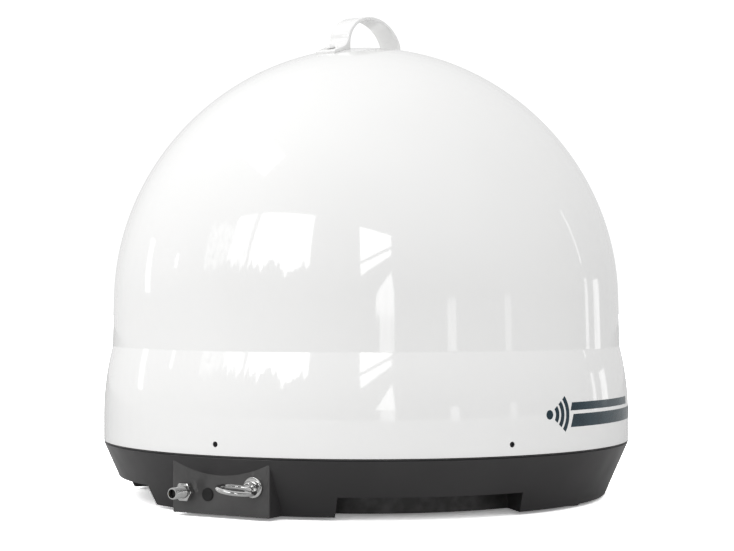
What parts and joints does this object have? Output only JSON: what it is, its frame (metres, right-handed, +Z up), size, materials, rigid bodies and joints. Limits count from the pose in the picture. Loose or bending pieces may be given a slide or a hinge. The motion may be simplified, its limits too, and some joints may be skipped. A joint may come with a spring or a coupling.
{
  "type": "radar dome antenna",
  "caption": "Motorised antenna under a glossy white dome on a dark grey base, with a top carry handle, finger recesses, an aerial connector and a security eye.",
  "frame": {"origin": "on the dome's axis, level with the soles of the rubber feet", "axes": "+Z up along the dome's axis; the four grip recesses face -X, +X, -Y and +Y; the connector panel faces half-way between -X and -Y"},
  "size_m": [0.47, 0.47, 0.4288],
  "materials": {
    "gloss_white": "glossy moulded radome plastic",
    "dark_grey": "satin moulded dark grey plastic",
    "black_plastic": "matt black moulded plastic",
    "natural_nylon": "natural white nylon",
    "black_rubber": "matt black rubber",
    "bright_nickel": "bright nickel plating",
    "zinc_steel": "zinc plated steel",
    "black_steel": "blackened steel",
    "brass": "plain brass",
    "cast_aluminium": "cast aluminium",
    "dish_aluminium": "pressed aluminium sheet",
    "board_green": "green solder mask"
  },
  "bodies": {
    "root": {"dome_cover": "gloss_white", "dome_seal": "black_rubber", "base_pan": "dark_grey", "dome_screw_1": "black_steel", "dome_screw_2": "black_steel", "dome_screw_3": "black_steel", "dome_screw_4": "black_steel", "dome_screw_5": "black_steel", "dome_screw_6": "black_steel", "rubber_foot_1": "black_rubber", "rubber_foot_2": "black_rubber", "rubber_foot_3": "black_rubber", "rubber_foot_4": "black_rubber", "carry_handle": "gloss_white", "handle_screw_front": "zinc_steel", "handle_screw_rear": "zinc_steel", "handle_nut_front": "zinc_steel", "handle_nut_rear": "zinc_steel", "coax_connector": "bright_nickel", "coax_connector_nut": "bright_nickel", "coax_insulator": "black_plastic", "blanking_plug": "black_rubber", "security_eye_bolt": "bright_nickel", "security_eye_washer": "bright_nickel", "security_eye_nut": "zinc_steel", "security_eye_locknut": "zinc_steel", "control_board": "board_green", "tuner_shield": "zinc_steel", "board_spacer_1": "zinc_steel", "board_spacer_2": "zinc_steel", "board_spacer_3": "zinc_steel", "board_spacer_4": "zinc_steel", "coax_jumper": "black_rubber", "spindle_post": "cast_aluminium", "spindle_collar": "zinc_steel", "azimuth_motor": "black_steel"},
    "azimuth_platform": {"azimuth_gear": "natural_nylon", "turntable": "black_plastic", "yoke_left": "cast_aluminium", "yoke_right": "cast_aluminium", "elevation_bush_left": "brass", "elevation_bush_right": "brass", "elevation_motor": "black_steel"},
    "azimuth_pinion": {"azimuth_pinion": "brass"},
    "dish_cradle": {"dish_reflector": "dish_aluminium", "dish_frame": "cast_aluminium", "feed_tube": "dish_aluminium", "sub_reflector": "dish_aluminium", "elevation_axle_left": "zinc_steel", "elevation_axle_right": "zinc_steel", "elevation_gear": "natural_nylon", "skew_motor": "black_steel"},
    "elevation_pinion": {"elevation_pinion": "brass"},
    "feed_converter": {"lnb_housing": "cast_aluminium", "lnb_connector": "bright_nickel", "skew_gear": "natural_nylon"},
    "skew_pinion": {"skew_pinion": "brass"}
  },
  "joints": [
    {"name": "azimuth", "type": "hinge", "parent": "root", "child": "azimuth_platform", "pos_m": [0, 0, 0.043], "axis": [0, 0, 1], "range_deg": [-200, 200]},
    {"name": "azimuth_pinion_spin", "type": "hinge", "parent": "root", "child": "azimuth_pinion", "pos_m": [0, 0.105, 0.043], "axis": [0, 0, 1], "range_deg": [-1210, 1210]},
    {"name": "elevation", "type": "hinge", "parent": "azimuth_platform", "child": "dish_cradle", "pos_m": [0, 0, 0.228], "axis": [-1, 0, 0], "range_deg": [-20, 55]},
    {"name": "elevation_pinion_spin", "type": "hinge", "parent": "azimuth_platform", "child": "elevation_pinion", "pos_m": [0.166, 0, 0.153], "axis": [-1, 0, 0], "range_deg": [-225, 85]},
    {"name": "skew", "type": "hinge", "parent": "dish_cradle", "child": "feed_converter", "pos_m": [0, 0, 0.228], "axis": [0, -0.8192, 0.5736], "range_deg": [-45, 45]},
    {"name": "skew_pinion_spin", "type": "hinge", "parent": "dish_cradle", "child": "skew_pinion", "pos_m": [0.042, 0, 0.228], "axis": [0, -0.8192, 0.5736], "range_deg": [-115, 115]}
  ],
  "couplings": [
    {"joint": "azimuth_pinion_spin", "follows": "azimuth", "ratio": -6},
    {"joint": "elevation_pinion_spin", "follows": "elevation", "ratio": -4},
    {"joint": "skew_pinion_spin", "follows": "skew", "ratio": -2.5}
  ]
}
